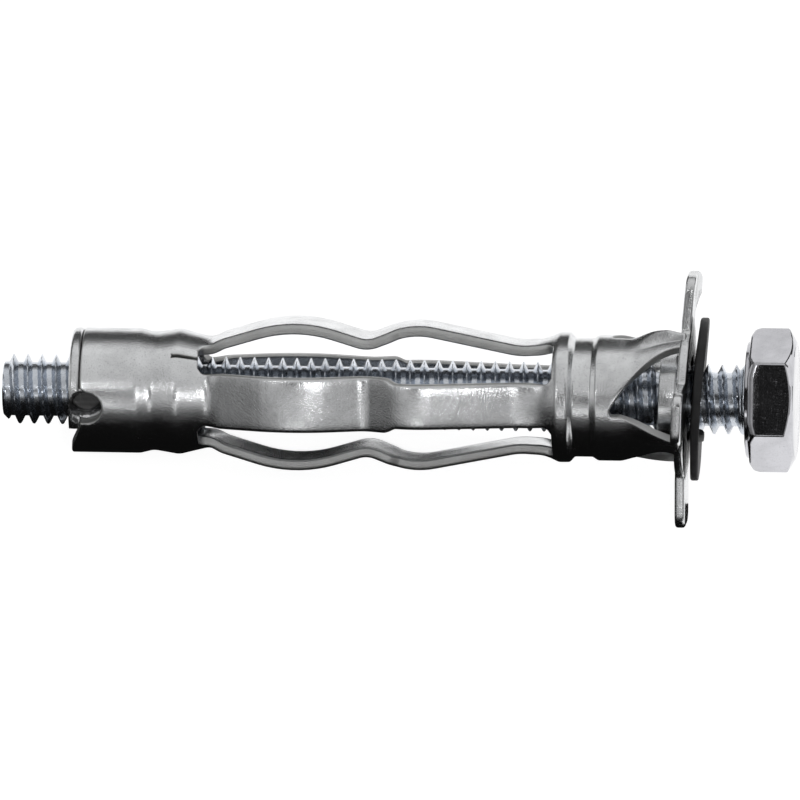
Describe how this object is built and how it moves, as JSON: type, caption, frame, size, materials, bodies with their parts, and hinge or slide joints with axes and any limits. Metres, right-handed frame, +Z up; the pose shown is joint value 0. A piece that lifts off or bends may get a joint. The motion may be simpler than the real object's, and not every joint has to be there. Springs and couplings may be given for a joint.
{
  "type": "hollow wall anchor",
  "caption": "Sheet-steel hollow wall anchor: sleeve with four wavy folding legs and an eared flange, crimped-in nut, hexagon-head screw and thin black retaining washer.",
  "frame": {"origin": "middle of the bounding box, on the table that the anchor lies on", "axes": "+Z up; +X along the anchor from the nut's end to the screw's head, whose axis rises about 3.9 degrees towards the head because the flange's ears stand further out than the nut; +Y sideways"},
  "size_m": [0.0714, 0.0186, 0.0185],
  "materials": {
    "sleeve_sheet": "bright zinc-plated sheet with a fine grain, grey cut edges",
    "nut_steel": "bright zinc plate",
    "screw_steel": "bright zinc plate, slightly bluish thread, fine scratches on the head",
    "washer_rubber": "matt black"
  },
  "bodies": {
    "screw": {"hex_bolt": "screw_steel"},
    "washer": {"retaining_washer": "washer_rubber"},
    "anchor": {"sleeve": "sleeve_sheet", "nut": "nut_steel"}
  },
  "joints": [
    {"name": "screw_travel", "type": "slide", "parent": "screw", "child": "washer", "axis": [0.9977, 0, 0.068], "range_m": [-0.01524, 0.00254]},
    {"name": "screw_turn", "type": "hinge", "parent": "washer", "child": "anchor", "pos_m": [0.02488, 0, 0.00925], "axis": [0.9977, 0, 0.068], "range_deg": [-4320, 720]}
  ],
  "couplings": [
    {"joint": "screw_travel", "follows": "screw_turn", "m_per_rad": 0.00020213}
  ]
}
